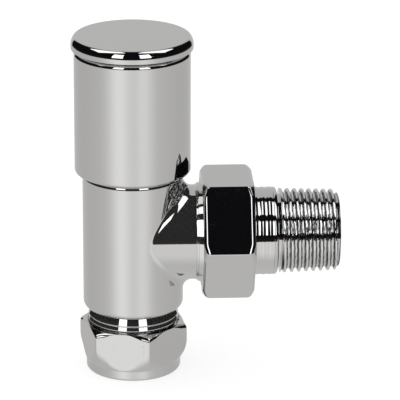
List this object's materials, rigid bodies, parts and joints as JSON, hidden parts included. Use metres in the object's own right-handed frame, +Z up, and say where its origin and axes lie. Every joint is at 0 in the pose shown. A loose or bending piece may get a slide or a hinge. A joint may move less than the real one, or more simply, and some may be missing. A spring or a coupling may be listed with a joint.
{
  "type": "manual radiator valve",
  "caption": "Angled manual radiator valve: drum handwheel with a push-in cap, compression nut for a 15 mm pipe below, and a union nut with a taper-threaded tail at the side.",
  "frame": {"origin": "centre of the pipe's entry, in the bottom face of the compression nut", "axes": "+Z up the pipe and spindle axis, +X along the radiator tail, away from the body"},
  "size_m": [0.0665, 0.034, 0.0868],
  "materials": {
    "chrome_plate": "polished",
    "turned_brass": "satin",
    "black_rubber": "matte",
    "bright_steel": "satin",
    "white_packing": "matte"
  },
  "bodies": {
    "valve_body": {"valve_body": "chrome_plate", "bonnet": "turned_brass", "bonnet_o_ring": "black_rubber", "gland_packing": "white_packing", "gland_nut": "turned_brass", "thrust_washer": "white_packing"},
    "handwheel": {"handwheel_barrel": "chrome_plate", "handwheel_screw": "bright_steel", "spindle": "turned_brass", "spindle_circlip": "bright_steel", "spindle_o_ring_lower": "black_rubber", "spindle_o_ring_upper": "black_rubber"},
    "cap": {"handwheel_cap": "chrome_plate"},
    "plug": {"valve_plug": "turned_brass", "seat_washer": "black_rubber", "seat_washer_screw": "bright_steel"},
    "olive": {"olive": "turned_brass"},
    "compression_nut": {"compression_nut": "chrome_plate"},
    "tailpiece": {"tailpiece": "chrome_plate"},
    "union_nut": {"union_nut": "chrome_plate"}
  },
  "joints": [
    {"name": "handwheel_turn", "type": "hinge", "parent": "valve_body", "child": "handwheel", "pos_m": [0, 0, 0.06], "axis": [0, 0, 1], "range_deg": [0, 900]},
    {"name": "plug_lift", "type": "slide", "parent": "valve_body", "child": "plug", "axis": [0, 0, 1], "range_m": [0, 0.0041]},
    {"name": "cap_pull", "type": "slide", "parent": "handwheel", "child": "cap", "axis": [0, 0, 1], "range_m": [0, 0.006]},
    {"name": "olive_travel", "type": "slide", "parent": "valve_body", "child": "olive", "axis": [0, 0, -1], "range_m": [0, 0.0076]},
    {"name": "compression_nut_turn", "type": "hinge", "parent": "olive", "child": "compression_nut", "pos_m": [0, 0, 0.006], "axis": [0, 0, -1], "range_deg": [0, 1800]},
    {"name": "tail_withdraw", "type": "slide", "parent": "valve_body", "child": "tailpiece", "axis": [1, 0, 0], "range_m": [0, 0.0092]},
    {"name": "union_nut_turn", "type": "hinge", "parent": "tailpiece", "child": "union_nut", "pos_m": [0.024, 0, 0.0355], "axis": [1, 0, 0], "range_deg": [0, 1800]}
  ],
  "couplings": [
    {"joint": "plug_lift", "follows": "handwheel_turn", "m_per_rad": 0.00025465},
    {"joint": "olive_travel", "follows": "compression_nut_turn", "m_per_rad": 0.00023873},
    {"joint": "tail_withdraw", "follows": "union_nut_turn", "m_per_rad": 0.00028871}
  ]
}
